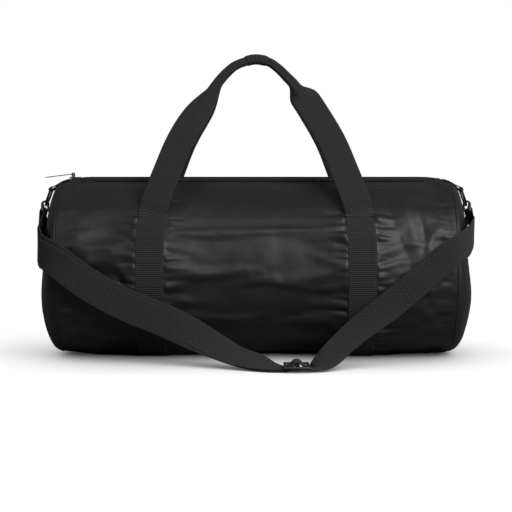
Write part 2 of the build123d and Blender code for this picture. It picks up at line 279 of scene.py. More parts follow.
class Nodes:
    """A short way to build a material's node tree."""

    def __init__(self, name, color, roughness, metallic=0.0):
        self.material = bpy.data.materials.new(name)
        self.material.use_nodes = True
        self.tree = self.material.node_tree
        self.shader = self.tree.nodes["Principled BSDF"]
        self.shader.inputs["Base Color"].default_value = (*color, 1)
        self.shader.inputs["Roughness"].default_value = roughness
        self.shader.inputs["Metallic"].default_value = metallic

    def node(self, kind, links=None, **values):
        """Add a node; links gives each input a plain value or another node's output."""
        made = self.tree.nodes.new(kind)
        for key, value in values.items():
            setattr(made, key, value)
        for key, value in (links or {}).items():
            socket = made.inputs[key]
            if isinstance(value, bpy.types.NodeSocket):
                self.tree.links.new(value, socket)
            else:
                socket.default_value = value
        return made

    def math(self, operation, a, b=0.0):
        return self.node("ShaderNodeMath", {0: a, 1: b}, operation=operation).outputs[0]

    def link(self, output, name):
        self.tree.links.new(output, self.shader.inputs[name])

    def ramp(self, factor, low, high, dark, light):
        """Colours from dark to light as the factor goes from low to high."""
        made = self.node("ShaderNodeValToRGB", {"Fac": factor})
        made.color_ramp.elements[0].position = low
        made.color_ramp.elements[0].color = (*dark, 1)
        made.color_ramp.elements[1].position = high
        made.color_ramp.elements[1].color = (*light, 1)
        return made.outputs["Color"]

    def noise(self, place, scale, detail=2.0, distortion=0.0):
        """A noise texture's grey value."""
        links = {"Vector": place, "Scale": scale, "Detail": detail, "Distortion": distortion}
        return self.node("ShaderNodeTexNoise", links).outputs["Fac"]

    def spread(self, value, low, high):
        """A value from 0 to 1 as one from low to high."""
        links = {"Value": value, "To Min": low, "To Max": high}
        return self.node("ShaderNodeMapRange", links).outputs["Result"]

    def waves(self, place, scale, direction):
        """A wave texture's grey value."""
        links = {"Vector": place, "Scale": scale}
        return self.node("ShaderNodeTexWave", links, bands_direction=direction).outputs["Fac"]

    def bump(self, height, distance, strength=1.0, normal=None):
        links = {"Height": height, "Distance": distance, "Strength": strength}
        if normal:
            links["Normal"] = normal
        return self.node("ShaderNodeBump", links).outputs["Normal"]


def nylon_material(name, color, roughness, gloss_level):
    """Satin nylon: fine plain weave, small soft creases and faint cloudiness."""
    m = Nodes(name, color, roughness)
    place = m.node("ShaderNodeTexCoord").outputs["Object"]
    cloud = m.noise(place, 9.0, 4.0)
    tone = m.ramp(cloud, 0.3, 0.7, [c * 0.86 for c in color], [c * 1.16 for c in color])
    m.link(tone, "Base Color")
    m.link(m.spread(cloud, roughness - 0.04, roughness + 0.06), "Roughness")
    weave = m.math("MULTIPLY", m.waves(place, 420.0, "X"), m.waves(place, 420.0, "Z"))
    fine = m.bump(weave, 0.06 * MM, 0.5)
    crease = m.noise(place, 38.0, 5.0, 0.4)
    m.link(m.bump(crease, 1.1 * MM, 0.5, fine), "Normal")
    m.shader.inputs["Specular IOR Level"].default_value = gloss_level
    return m.material


def webbing_material(name, color, rib=2.9 * MM, slant=0.0):
    """Ribbed webbing on UVs in metres: cross ribs broken by lengthwise strands."""
    strand = 1.2 * MM
    m = Nodes(name, color, 0.72)
    uv = m.node("ShaderNodeUVMap", uv_map="cloth").outputs["UV"]
    split = m.node("ShaderNodeSeparateXYZ", {"Vector": uv})
    along, side = split.outputs["X"], split.outputs["Y"]
    zig = m.math("PINGPONG", side, 2 * strand)
    shifted = m.math("ADD", along, m.math("MULTIPLY", zig, 0.25 + slant))
    ribs = m.math("SINE", m.math("MULTIPLY", shifted, TAU / rib))
    strands = m.math("SINE", m.math("MULTIPLY", side, TAU / strand))
    pile = m.math("ADD", ribs, m.math("MULTIPLY", strands, 0.3))
    fuzz = m.noise(m.node("ShaderNodeTexCoord").outputs["Object"], 900.0)
    span = {"Value": m.math("ADD", pile, fuzz), "From Min": -1.2, "From Max": 2.2}
    level = m.node("ShaderNodeMapRange", span).outputs["Result"]
    tone = m.ramp(level, 0.1, 0.9, [c * 0.2 for c in color], [c * 1.9 for c in color])
    m.link(tone, "Base Color")
    m.link(m.bump(level, 1.2 * MM), "Normal")
    m.shader.inputs["Sheen Weight"].default_value = 0.04
    m.shader.inputs["Sheen Roughness"].default_value = 0.5
    m.shader.inputs["Specular IOR Level"].default_value = 0.22
    return m.material


def thread_material(color):
    """Twisted sewing thread."""
    m = Nodes("sewing_thread", color, 0.6)
    place = m.node("ShaderNodeTexCoord").outputs["Object"]
    twist = m.waves(place, 900.0, "DIAGONAL")
    m.link(m.bump(twist, 0.1 * MM, 0.6), "Normal")
    tone = m.ramp(twist, 0.0, 1.0, [c * 0.7 for c in color], [c * 1.3 for c in color])
    m.link(tone, "Base Color")
    return m.material


def metal_material(name, color, roughness, rubbed_and_highlit):
    """Black-coated zinc, brighter at its sharp edges: partly rubbed wear, partly a painted edge
    highlight.
    """
    m = Nodes(name, color, roughness, 0.6)
    place = m.node("ShaderNodeTexCoord").outputs["Object"]
    edge = m.node("ShaderNodeNewGeometry").outputs["Pointiness"]
    grain = m.noise(place, 420.0, 4.0)
    # Pointiness lightens convex edges: rubbed wear and a painted edge highlight together.
    rub_and_highlight_mask = m.math("ADD", edge, m.math("MULTIPLY", grain, 0.12))
    m.link(m.ramp(rub_and_highlight_mask, 0.6, 0.74, color, rubbed_and_highlit), "Base Color")
    m.link(m.spread(grain, roughness - 0.08, roughness + 0.12), "Roughness")
    m.link(m.bump(grain, 0.08 * MM, 0.4), "Normal")
    return m.material


def plastic_material(name, color):
    """Moulded acetal with a fine satin texture and faint scuffs."""
    m = Nodes(name, color, 0.42)
    place = m.node("ShaderNodeTexCoord").outputs["Object"]
    scuff = m.noise(place, 120.0, 6.0)
    m.link(m.ramp(scuff, 0.45, 0.8, color, [c * 1.9 for c in color]), "Base Color")
    m.link(m.bump(m.noise(place, 1400.0), 0.05 * MM, 0.5), "Normal")
    return m.material


NYLON = nylon_material("satin_nylon", (0.0082, 0.0079, 0.0075), 0.49, 0.34)
WEB = webbing_material("ribbed_webbing", (0.0155, 0.0155, 0.015))
STRAP_WEB = webbing_material("strap_webbing", (0.0165, 0.0165, 0.0158), slant=0.5)
TAPE = webbing_material("zipper_tape_cloth", (0.016, 0.016, 0.016), rib=0.9 * MM)
THREAD = thread_material((0.017, 0.017, 0.0165))
METAL = metal_material("black_zinc", (0.022, 0.022, 0.021), 0.3, (0.14, 0.14, 0.135))
COIL = plastic_material("nylon_coil", (0.02, 0.02, 0.02))
PLASTIC = plastic_material("black_acetal", (0.022, 0.022, 0.021))


# ----------------------------------------------------------------- bag body

FABRIC = 0.9 * MM
LOWEST = 0.6 * MM
BAND_PRESS = 1.9 * MM
SLACK_ALONG = 1.022
SLACK_ROUND = 1.04
CLOTH_FRAMES = 32
MOST_SWELL = 6.5 * MM
PUCKER_DEPTH = 3.4 * MM
SWAG_DEPTH = 2.0 * MM
RIPPLE_DEPTH = 0.8 * MM
GATHER_DEPTH = 2.6 * MM


def skin_radius(x, turn):
    """The shell's radius; turn is measured from the top, towards the front."""
    t = max(0.0, (abs(x) - TAPER_START) / (SEAM - TAPER_START))
    top = math.exp(-(min(turn, TAU - turn) / 0.3) ** 2)
    return RADIUS - mix(t ** 2 * (RADIUS - END_RADIUS), t ** 4 * TOP_TAPER, top)


def skin_point(x, turn, radius):
    """The point at a turn from the top towards the front."""
    y = -radius * math.sin(turn)
    z = AXIS + radius * math.cos(turn)
    return Vector((x, y, z))


HINGE_TURN = math.acos((HINGE_Z - AXIS) / RADIUS)
COLUMNS = 121
ROWS = 157


def grid_places():
    """The cloth grid: places along the barrel and turns from one edge of the mouth to the other."""
    start = MOUTH / RADIUS
    xs = [mix(-SEAM, SEAM, i / (COLUMNS - 1)) for i in range(COLUMNS)]
    turns = [mix(start, TAU - start, j / (ROWS - 1)) for j in range(ROWS)]
    return xs, turns


def band_x(turn):
    """The band's distance from the middle; it leans inwards as it nears the handles."""
    below = min(turn, TAU - turn) - HINGE_TURN
    return BAND_X - 3 * MM * smooth(1 - below / 0.4)


def on_band(x, turn):
    """Whether a place on the skin lies under a sewn band."""
    near = abs(abs(x) - band_x(turn)) < WEBBING / 2 + 0.5 * MM
    return near and HINGE_TURN - 0.04 < turn < TAU - HINGE_TURN + 0.04


def barrel_cloth():
    """The barrel panel, cut a little long, sewn down at bands, seams and mouth, and inflated."""
    xs, turns = grid_places()
    rest = []
    cut = []
    pinned = []
    for i, x in enumerate(xs):
        for j, turn in enumerate(turns):
            radius = skin_radius(x, turn)
            held = on_band(x, turn)
            if held:
                radius -= BAND_PRESS
            rest.append(skin_point(x, turn, radius))
            cut.append(skin_point(x * SLACK_ALONG, turn, radius * SLACK_ROUND))
            if held or i in (0, COLUMNS - 1) or j in (0, ROWS - 1):
                pinned.append(i * ROWS + j)
    obj = new_mesh("barrel_cloth", rest, grid_faces(COLUMNS, ROWS))
    for v in obj.data.vertices:
        jitter = noise.noise(v.co * 60) * 0.5 * MM
        if v.index not in pinned:
            v.co += (v.co - Vector((v.co.x, 0, AXIS))).normalized() * jitter
    obj.shape_key_add(name="placed")
    key = obj.shape_key_add(name="cut")
    for k, p in enumerate(cut):
        key.data[k].co = p
    key.value = 0.0
    group = obj.vertex_groups.new(name="sewn")
    group.add(pinned, 1.0, "REPLACE")
    cloth = obj.modifiers.new("cloth", "CLOTH")
    settings = cloth.settings
    settings.quality = 6
    settings.mass = 0.12
    settings.tension_stiffness = 25
    settings.compression_stiffness = 25
    settings.shear_stiffness = 8
    settings.bending_stiffness = 0.25
    settings.use_pressure = True
    settings.uniform_pressure_force = 3.5
    settings.vertex_group_mass = "sewn"
    settings.rest_shape_key = key
    settings.effector_weights.gravity = 0.0
    settings.air_damping = 4.0
    cloth.collision_settings.use_collision = False
    cloth.collision_settings.use_self_collision = False
    cloth.point_cache.frame_start = 1
    cloth.point_cache.frame_end = 40
    frames = CLOTH_FRAMES
    for step in range(1, frames + 1):
        bpy.context.scene.frame_set(step)
    graph = bpy.context.evaluated_depsgraph_get()
    mesh = bpy.data.meshes.new_from_object(obj.evaluated_get(graph))
    bpy.context.scene.frame_set(1)
    moved = [v.co.copy() for v in mesh.vertices]
    bpy.data.objects.remove(obj)
    return rest, moved


# Each fold: points as (x, height above the floor) on the front, half-width and depth in mm.
FOLDS = [
    ([(-262, 152), (-250, 144), (-238, 139)], 6, 4.5),
    ([(-232, 132), (-212, 120), (-190, 118)], 13, 4.5),
    ([(-186, 122), (-176, 104), (-164, 92)], 7, 3.5),
    ([(-200, 138), (-186, 134), (-174, 120), (-166, 112)], 8, -2.5),
    ([(-236, 210), (-214, 222), (-176, 226)], 10, 1.6),
    ([(-220, 185), (-196, 172), (-168, 170)], 12, 1.6),
    ([(178, 222), (184, 190), (196, 160), (206, 138)], 11, 2.8),
    ([(196, 226), (203, 196), (212, 170), (220, 150)], 10, -1.8),
    ([(214, 214), (224, 188), (226, 160), (222, 146)], 9, 3.0),
    ([(226, 152), (236, 172), (248, 182), (258, 172)], 8, -2.2),
    ([(232, 150), (242, 160), (252, 158)], 7, 2.8),
    ([(206, 220), (232, 212), (256, 196)], 8, 2.6),
    ([(236, 232), (252, 214), (262, 200)], 7, 2.4),
    ([(220, 42), (238, 52), (258, 66)], 7, 2.8),
    ([(-256, 96), (-246, 74), (-238, 50)], 9, 2.4),
    ([(-110, 205), (-96, 222), (-84, 234)], 9, 2.0),
    ([(-118, 196), (-98, 204), (-82, 216)], 7, -1.6),
    ([(104, 226), (116, 212), (122, 196)], 9, 2.6),
    ([(88, 206), (104, 196), (121, 190)], 7, 1.8),
]


def fold_box(line, half):
    """The stretch of the front that a fold can reach, as x and height limits."""
    xs = [x for x, z in line]
    zs = [z for x, z in line]
    reach = 3 * half
    return min(xs) - reach, max(xs) + reach, min(zs) - reach, max(zs) + reach


FOLD_BOXES = [fold_box(line, half) for line, half, depth in FOLDS]


def fold_depth(x, y, z):
    """How far the listed folds push the front in, in metres."""
    if y > 0:
        return 0.0
    total = 0.0
    spot = Vector((x / MM, z / MM))
    for (line, half, depth), (left, right, low, high) in zip(FOLDS, FOLD_BOXES):
        if not (left < spot.x < right and low < spot.y < high):
            continue
        best = None
        for k in range(len(line) - 1):
            a = Vector(line[k])
            b = Vector(line[k + 1])
            t = min(1.0, max(0.0, (spot - a).dot(b - a) / (b - a).length_squared))
            gap = (spot - a.lerp(b, t)).length
            where = (k + t) / (len(line) - 1)
            if best is None or gap < best[0]:
                best = (gap, where)
        gap, where = best
        if gap < 3 * half:
            taper = math.sin(math.pi * mix(0.12, 0.88, where))
            total += depth * taper * math.exp(-(gap / half) ** 1.5)
    return total * MM


def creases(place):
    """Rounded hills with sharp valleys between them, from about -0.5 to 0.8."""
    return 2.2 * abs(noise.noise(place)) - 0.5


def pucker(x, turn):
    """Gathers beside each band: short folds that run out from its edges and fade."""
    layer = 3.1
    total = 0.0
    for sign in (-1, 1):
        gap = abs(x - sign * band_x(turn)) - WEBBING / 2
        if gap < 0 or gap > 90 * MM:
            continue
        reach = (22 + 18 * noise.noise(Vector((turn * 5, sign * 1.3, layer)))) * MM
        fade = math.exp(-(gap / reach) ** 2) * smooth(gap / (2.5 * MM))
        flank = 1 if x > sign * BAND_X else 2
        slant = turn + gap * 1.8 * noise.noise(Vector((turn * 3, flank + 0.3, layer)))
        wave = creases(Vector((slant * 9, flank * 7.1 + sign, gap * 8)))
        wave += 0.5 * creases(Vector((slant * 19, flank * 3.7 - sign, gap * 12)))
        total += wave * fade
    below = smooth((turn - HINGE_TURN) / 0.12) * smooth((TAU - HINGE_TURN - turn) / 0.12)
    return total * mix(0.35, 1.0, below)


def held_cloth(rest, moved):
    """The simulated cloth with its movement capped, and eased where the handles' stitching ends."""
    reach = 4
    shifts = []
    for start, end in zip(rest, moved):
        shift = end - start
        if shift.length > MOST_SWELL:
            shift = shift.normalized() * MOST_SWELL
        shifts.append(shift)
    points = []
    for k, start in enumerate(rest):
        turn = math.atan2(-start.y, start.z - AXIS) % TAU
        ease = math.exp(-((min(turn, TAU - turn) - HINGE_TURN) / 0.18) ** 2)
        if on_band(start.x, turn):
            ease = 0.0
        first = k - k % ROWS
        near = shifts[max(first, k - reach):min(first + ROWS, k + reach + 1)]
        mean = sum(near, Vector()) / len(near)
        points.append(start + shifts[k].lerp(mean, ease))
    return points


def skin_push(place, turn):
    """How far outwards gathers, slack and folds move a point of the barrel's skin."""
    x = place.x
    if on_band(x, turn):
        return 0.0
    to_mouth = (min(turn, TAU - turn) * RADIUS - MOUTH) / (22 * MM)
    edge = smooth((SEAM - abs(x)) / (18 * MM))
    push = pucker(x, turn) * PUCKER_DEPTH
    push += noise.noise(Vector((x * 13, turn * 2.2, 8.0))) * SWAG_DEPTH
    push += noise.noise(Vector((x * 34, turn * 5.5, 3.0))) * RIPPLE_DEPTH
    gathers = creases(Vector((turn * 10, 1.2 if x > 0 else 5.4, x * 12)))
    push += gathers * GATHER_DEPTH * math.exp(-((SEAM - abs(x)) / (24 * MM)) ** 2)
    push -= fold_depth(place.x, place.y, place.z)
    return push * smooth(to_mouth) * mix(0.12, 1.0, edge)


def thicken(obj, depth):
    """Give a sheet its thickness, behind its face when depth is positive."""
    solid = obj.modifiers.new("thickness", "SOLIDIFY")
    solid.thickness = depth
    solid.offset = -1.0
    return obj


def subdivide(obj):
    """One level of smooth subdivision."""
    sub = obj.modifiers.new("smooth", "SUBSURF")
    sub.levels = 1
    sub.render_levels = 1
    return obj


def barrel_panel(points):
    """The long panel from the simulated cloth, with its gathers and folds worked in."""
    obj = new_mesh("barrel_fabric", points, grid_faces(COLUMNS, ROWS))
    subdivide(obj)
    apply_modifiers(obj)
    for v in obj.data.vertices:
        outward = Vector((0, v.co.y, v.co.z - AXIS)).normalized()
        turn = math.atan2(-outward.y, outward.z) % TAU
        v.co += outward * skin_push(v.co, turn)
        v.co.z = max(v.co.z, LOWEST)
    tree = BVHTree.FromObject(obj, bpy.context.evaluated_depsgraph_get())
    thicken(obj, FABRIC)
    apply_modifiers(obj)
    finish_piece(obj, "root", "shell_fabric", NYLON, "barrel_panel")
    return tree


def on_skin(tree, x, turn, lift=0.1 * MM):
    """The point of the barrel's skin at a place along and round it, lifted a little."""
    start = skin_point(x, turn, RADIUS + 40 * MM)
    inward = (Vector((x, 0, AXIS)) - start).normalized()
    hit = tree.ray_cast(start, inward)[0]
    return hit - inward * lift


def topstitching(tree):
    """Rows of stitches along both sides of the mouth and beside the end seams."""
    pairs = []
    for offset in (3.5, 8.5):
        turn = (MOUTH + offset * MM) / RADIUS
        for place in (turn, TAU - turn):
            line = [on_skin(tree, mix(-262, 262, k / 90) * MM, place) for k in range(91)]
            pairs += stitch_pairs(line)
    for side in (-1, 1):
        x = side * (SEAM - 4 * MM)
        line = [on_skin(tree, x, mix(0.12, TAU - 0.12, k / 260)) for k in range(261)]
        pairs += stitch_pairs([p for p in line if p.z > 1.5 * MM])
    threads = capsules("shell_topstitching", pairs, 0.3 * MM)
    finish_piece(threads, "root", "shell_fabric", THREAD)


def end_panel(name, side):
    """A round end panel, gathered at its seam and sagging low down."""
    rings = 46
    count = 300
    points = []
    for i in range(rings):
        t = i / (rings - 1)
        share = math.sin(t * math.pi / 2)
        for j in range(count):
            turn = TAU * j / count
            radius = skin_radius(side * SEAM, turn) * mix(0.006, 1.0, share)
            y = -radius * math.sin(turn)
            z = AXIS + radius * math.cos(turn)
            low = smooth((0.25 - (z - AXIS) / END_RADIUS) / 0.7)
            swell = mix(21.5, 29.0, low) * MM
            x = SEAM + swell * math.sqrt(max(0.0, 1 - share ** 2.3)) ** 0.92
            gather = noise.noise(Vector((turn * 9, side * 3, 4.0))) * 1.7 * MM
            gather += noise.noise(Vector((turn * 19, side * 5, 1.0))) * 0.8 * MM
            x += gather * share ** 5 * (1 - share ** 14)
            x += noise.noise(Vector((y * 16, z * 16, side * 2.0))) * 1.3 * MM * (1 - share ** 6)
            points.append(Vector((side * x, y, max(z, LOWEST))))
    points.append(Vector((side * (SEAM + 25 * MM), 0, AXIS)))
    faces = grid_faces(rings, count, wrap=True)
    faces += [(len(points) - 1, j, (j + 1) % count) for j in range(count)]
    if side < 0:
        faces = [tuple(reversed(f)) for f in faces]
    obj = new_mesh("end_fabric_" + name, points, faces)
    thicken(obj, -FABRIC)
    apply_modifiers(obj)
    return finish_piece(obj, "root", "shell_fabric", NYLON, "end_panel_" + name)


def tube(name, line, radius, sides=8, closed=True):
    """A round tube along a line of points, open at its ends unless it is closed on itself."""
    points = []
    count = len(line)
    for i, p in enumerate(line):
        ahead = line[(i + 1) % count] if closed or i < count - 1 else p
        behind = line[i - 1] if closed or i > 0 else p
        axis = (ahead - behind).normalized()
        out = Vector((1, 0, 0)) if abs(axis.x) < 0.9 else Vector((0, 0, 1))
        side = axis.cross(out).normalized()
        up = side.cross(axis)
        for k in range(sides):
            turn = TAU * k / sides
            points.append(p + (side * math.cos(turn) + up * math.sin(turn)) * radius)
    rows = count + 1 if closed else count
    faces = []
    for i in range(rows - 1):
        a = i * sides
        b = ((i + 1) % count) * sides
        for k in range(sides):
            j = (k + 1) % sides
            faces.append((a + k, a + j, b + j, b + k))
    return new_mesh(name, points, faces)


def seam_piping(name, side):
    """The pinched welt where the end panel is sewn on."""
    line = []
    for j in range(240):
        turn = TAU * j / 240
        radius = skin_radius(side * SEAM, turn) + 0.4 * MM
        p = skin_point(side * (SEAM + 0.4 * MM), turn, radius)
        p.z = max(p.z, 1.6 * MM)
        line.append(p)
    obj = tube("seam_welt_" + name, line, 1.3 * MM)
    finish_piece(obj, "root", "shell_fabric", NYLON)
    return obj


def binding(name, side):
    """The woven tape over the seam's raw edges, inside."""
    rows = []
    for x in (262.5, 269.0):
        for j in range(120):
            turn = TAU * j / 120
            p = skin_point(side * x * MM, turn, END_RADIUS - 3.5 * MM)
            rows.append(p)
    obj = new_mesh("seam_tape_" + name, rows, grid_faces(2, 120, wrap=True))
    thicken(obj, 1.0 * MM)
    apply_modifiers(obj)
    finish_piece(obj, "root", "binding_tape", THREAD, "seam_binding_" + name)


# ----------------------------------------------------- bands, handles, straps

def band_route(side):
    """Round under the barrel, from the front hinge line to the rear one."""
    route = []
    count = 130
    for k in range(count + 1):
        turn = mix(HINGE_TURN + 0.005, TAU - HINGE_TURN - 0.005, k / count)
        radius = RADIUS - 0.6 * MM + 0.25 * MM * noise.noise(Vector((turn * 4, side, 0)))
        p = skin_point(side * band_x(turn), turn, radius)
        out = Vector((0, -math.sin(turn), math.cos(turn)))
        along = Vector((0, -math.cos(turn), -math.sin(turn)))
        if p.z < WEB_THICK / 2 + 0.1 * MM:
            p.z = WEB_THICK / 2 + 0.1 * MM
            out = Vector((0, 0, -1))
            along = Vector((0, 1, 0))
        route.append((p, out, along))
    return route


def edge_lines(route, width, inset, lift):
    """Two lines of points along a ribbon's face, near its edges."""
    lines = [[], []]
    for point, facing, tangent in route:
        across = facing.cross(tangent).normalized()
        out = tangent.cross(across).normalized()
        for line, sign in zip(lines, (1, -1)):
            line.append(point + across * sign * (width / 2 - inset) + out * lift)
    return lines


def handle_band(name, side):
    """The webbing sewn round under the barrel, with a row of stitches along each edge."""
    route = band_route(side)
    obj = ribbon("band_webbing_" + name, route)
    finish_piece(obj, "root", "webbing", WEB, "handle_band_" + name)
    pairs = []
    for line in edge_lines(route, WEBBING, 2.2 * MM, WEB_THICK / 2 + 0.05 * MM):
        pairs += stitch_pairs(line)
    threads = capsules("band_stitches_" + name, pairs, 0.32 * MM)
    finish_piece(threads, "root", "webbing", THREAD)


# The handle's loop as (x, distance up from its hinge line) in mm; the legs are alike.
HANDLE_LEG = [(139, -16), (139, -8), (139, 2), (131, 28), (121, 57), (103, 104), (77, 152)]
LEFT_GRIP = [(-55, 189), (-34, 213), (-17, 222)]
RIGHT_GRIP = [(18, 222), (31, 212.5), (42, 201), (56, 185)]
HANDLE_APEX = (0, 226)
STACK = 2.6 * MM


def handle_route(side):
    """The handle's loop: up from the barrel in its leaning plane and down again."""
    grip = LEFT_GRIP + [HANDLE_APEX] + RIGHT_GRIP
    points = [(-x, s) for x, s in HANDLE_LEG] + grip + list(reversed(HANDLE_LEG))
    flat = route_points([((x, s, 0), (0, 0, 1)) for x, s in points], 3 * MM)
    lean = Vector((0, -side * math.sin(HANDLE_LEAN), math.cos(HANDLE_LEAN)))
    hinge = Vector((0, side * HINGE_Y, HINGE_Z))
    out_of_plane = Vector((1, 0, 0)).cross(lean) * (-side)
    route = []
    for point, facing, tangent in flat:
        s = point.y
        place = hinge + Vector((point.x, 0, 0)) + lean * s
        out = out_of_plane
        across_flat = Vector((-tangent.y, tangent.x, 0))
        if s < 14 * MM:
            turn = HINGE_TURN - (s - 1 * MM) / HANDLE_RADIUS
            wrapped = skin_point(point.x, turn, RADIUS - 0.35 * MM)
            radial = Vector((0, -math.sin(turn), math.cos(turn)))
            wrapped.y *= -side
            radial.y *= -side
            share = smooth((s + 2 * MM) / (16 * MM))
            place = wrapped.lerp(place, share)
            out = radial.lerp(out_of_plane, share).normalized()
        rise = out.cross(Vector((1, 0, 0))) * -side
        across = (Vector((across_flat.x, 0, 0)) + rise * across_flat.y).normalized()
        route.append((place, across, out, s))
    return route


def folded_ring(fold):
    """Webbing with both edges turned back behind its middle by fold, 0 to 1, as a closed ring."""
    half = WEBBING / 2
    turn = math.pi * fold
    count = 30
    line = []
    for k in range(count + 1):
        w = mix(half, -half, k / count)
        side = 1 if w > 0 else -1
        flat, bend = (3.0 * MM, 2.9 * MM) if w > 0 else (5.0 * MM, 1.6 * MM)
        past = max(0.0, abs(w) - flat)
        arc = min(past / bend, turn)
        spot = Vector((min(abs(w), flat) + bend * math.sin(arc), bend * (math.cos(arc) - 1)))
        spot += Vector((math.cos(turn), -math.sin(turn))) * max(0.0, past - turn * bend)
        line.append(Vector((side * spot.x, spot.y + STACK * fold)))
    ring = []
    for sign in (1, -1):
        for k in (range(count + 1) if sign > 0 else range(count, -1, -1)):
            along = (line[min(k + 1, count)] - line[max(k - 1, 0)]).normalized()
            edge = 0.55 if k in (0, count) else 1.0
            ring.append(line[k] + Vector((-along.y, along.x)) * -sign * WEB_THICK / 2 * edge)
    return [(p.x * (1 - 0.14 * fold), p.y) for p in ring]


def grip_fold(x, s):
    """How far the webbing is folded: gradually on the left of the grip, suddenly on the right."""
    if x < 0:
        return min(1.0, max(0.0, (s - 118 * MM) / (103 * MM))) ** 1.8
    return smooth((s - 160 * MM) / (58 * MM))


def across_pairs(frame_at, half, lift):
    """One row of stitches straight across a webbing."""
    point, across, out = frame_at
    line = [point + across * w + out * lift for w in (half, 0, -half)]
    return stitch_pairs(line, 2.2 * MM, 0.8 * MM)


def handle(name, side):
    """A carry handle: sewn to its band, its edges turned back at the grip and bound at the top."""
    route = [frame for frame in handle_route(side) if frame[3] > -9 * MM]
    frames = [(p, across, out) for p, across, out, s in route]
    folds = [grip_fold(p.x, s) for p, across, out, s in route]
    body = name + "_handle"
    webbing = sweep("handle_webbing_" + name, frames, lambda i: folded_ring(folds[i]))
    finish_piece(webbing, None, "webbing", WEB, "handle_" + name)
    face = WEB_THICK / 2 + 0.1 * MM
    pairs = []
    for half in (route[:len(route) // 2], route[len(route) // 2:]):
        for height in (-3, 5, 8):
            p, across, out, s = min(half, key=lambda f: abs(f[3] - height * MM))
            pairs += across_pairs((p, across, out), 16 * MM, face)
    for sign in (-1, 1):
        grip = [f for f in route if f[3] > 196 * MM and sign * f[0].x > 17 * MM]
        line = [p + across * 1.5 * MM + out * (face + STACK) for p, across, out, s in grip]
        pairs += stitch_pairs(line)
    threads = capsules("handle_stitches_" + name, pairs, 0.34 * MM)
    finish_piece(threads, None, "webbing", THREAD)
    for piece in (webbing, threads):
        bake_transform(piece)
    top = [f for f in frames if abs(f[0].x) < 16.5 * MM]
    snug = strip_ring(13.4 * MM, 8.6 * MM, 10)
    loose = strip_ring(14.6 * MM, 9.6 * MM, 10)
    wrap = sweep("grip_wrap_" + name, top, lambda i: loose if 0 < i < len(top) - 1 else snug)
    finish_piece(wrap, body, "webbing", WEB)


# ----------------------------------------------------------- shoulder strap

# Places and runs here are in mm; each station is a point and the way its face looks.
HOOK_X = 295
HOOK_DROP = 36
RING_ARC_Z = 221
HOOK_LEAN = math.radians(35)
STRAP_THICK = 1.6 * MM
WRAP_REACH = 3.6
LAYER_GAP = 2.2
RETURN_SHIFT = 6.0

LEFT_RUN = [((-298.6, -32, 172), (-1, 0, 0)), ((-298, -58, 162), (-1, 0, 0)),
            ((-294, -88, 154), (-0.94, -0.34, 0)), ((-285.5, -118.5, 148), (-0.75, -0.66, 0)),
            ((-267.5, -133.8, 140), (-0.35, -0.94, 0)), ((-243, -134.6, 121), (0, -1, 0)),
            ((-219, -134, 104), (0, -1, 0)), ((-189, -134, 87), (0, -1, 0)),
            ((-161, -134, 74), (0, -1, 0)), ((-119, -135.5, 57), (0, -1, 0.12)),
            ((-84, -139, 41), (0, -0.9, 0.4)), ((-52, -146, 27), (0, -0.7, 0.7)),
            ((-26, -156, 17), (0, -0.55, 0.85)), ((0, -167, 11.2), (0, -0.4, 0.92)),
            ((18, -173, 6.4), (0, -0.15, 1)), ((32, -175, 4.3), (0, 0, 1))]

RIGHT_RUN = [((79, -174, 4), (0, 0, 1)), ((93, -164, 13), (0, -0.35, 0.94)),
             ((112, -149, 30), (0, -0.55, 0.83)), ((136, -139, 50), (0, -0.75, 0.66)),
             ((161, -135, 69), (0, -0.93, 0.36)), ((185, -133, 87), (0, -1, 0.1)),
             ((212, -133, 110), (0, -1, 0)), ((237, -132, 132), (0, -1, 0)),
             ((262, -130, 152), (0.35, -0.94, 0)), ((280, -118, 163), (0.75, -0.66, 0)),
             ((291, -92, 171), (0.94, -0.34, 0)), ((297.6, -62, 177), (1, 0, 0)),
             ((298.6, -40, 178.5), (1, 0, 0))]

THROUGH_ADJUSTER = [((40.5, -175, 4.2), (-0.3, 0, 1)), ((50, -175, 12.2), (-0.4, 0, 1)),
                    ((57, -175, 12), (0.4, 0, 1)), ((64.8, -175, 4.4), (0.3, 0, 1)),
                    ((70.5, -175, 3.8), (0, 0, 1))]

ROUND_CENTRE_BAR = [((41, -175, 2.0), (0.3, 0, -1)), ((49.3, -175, 9.2), (0.5, 0, -1)),
                    ((53, -175, 9.7), (0, 0, -1)), ((55.6, -175, 9), (-0.7, 0, -0.7)),
                    ((56.3, -175, 6.9), (-1, 0, 0)), ((55.6, -175, 4.8), (-0.7, 0, 0.7)),
                    ((53.5, -175, 4.2), (0, 0, 1)), ((51, -175, 4.2), (0, 0, 1))]


def bar_wrap(side, turns):
    """Stations round the hook's bar, by angle from the outer side over the bar's hook side."""
    down = Vector((0, -math.sin(HOOK_LEAN), -math.cos(HOOK_LEAN)))
    middle = Vector((side * HOOK_X, 0, RING_ARC_Z)) + down * HOOK_DROP
    stations = []
    for angle in turns:
        turn = math.radians(angle)
        out = Vector((side, 0, 0)) * math.cos(turn) - down * math.sin(turn)
        stations.append((middle + out * WRAP_REACH, out))
    return stations


def return_run():
    """The webbing's second layer, behind the first and set a little higher."""
    route = []
    for place, facing in LEFT_RUN[1:]:
        out = Vector(facing).normalized()
        lift = RETURN_SHIFT * max(0.0, min(1.0, (place[2] - 10) / 30))
        route.append((Vector(place) - out * LAYER_GAP + Vector((0, 0, lift)), -out))
    return route


def shoulder_strap():
    """The whole webbing, from the right hook to the left one and back to the adjuster."""
    stations = bar_wrap(1, range(180, -1, -30)) + list(reversed(RIGHT_RUN))
    stations += list(reversed(THROUGH_ADJUSTER)) + list(reversed(LEFT_RUN))
    stations += bar_wrap(-1, range(0, 181, 30)) + return_run() + ROUND_CENTRE_BAR
    obj = ribbon("strap_webbing", route_points(stations, 4 * MM), thick=STRAP_THICK)
    finish_piece(obj, "strap", "strap_webbing", STRAP_WEB, "shoulder_strap")


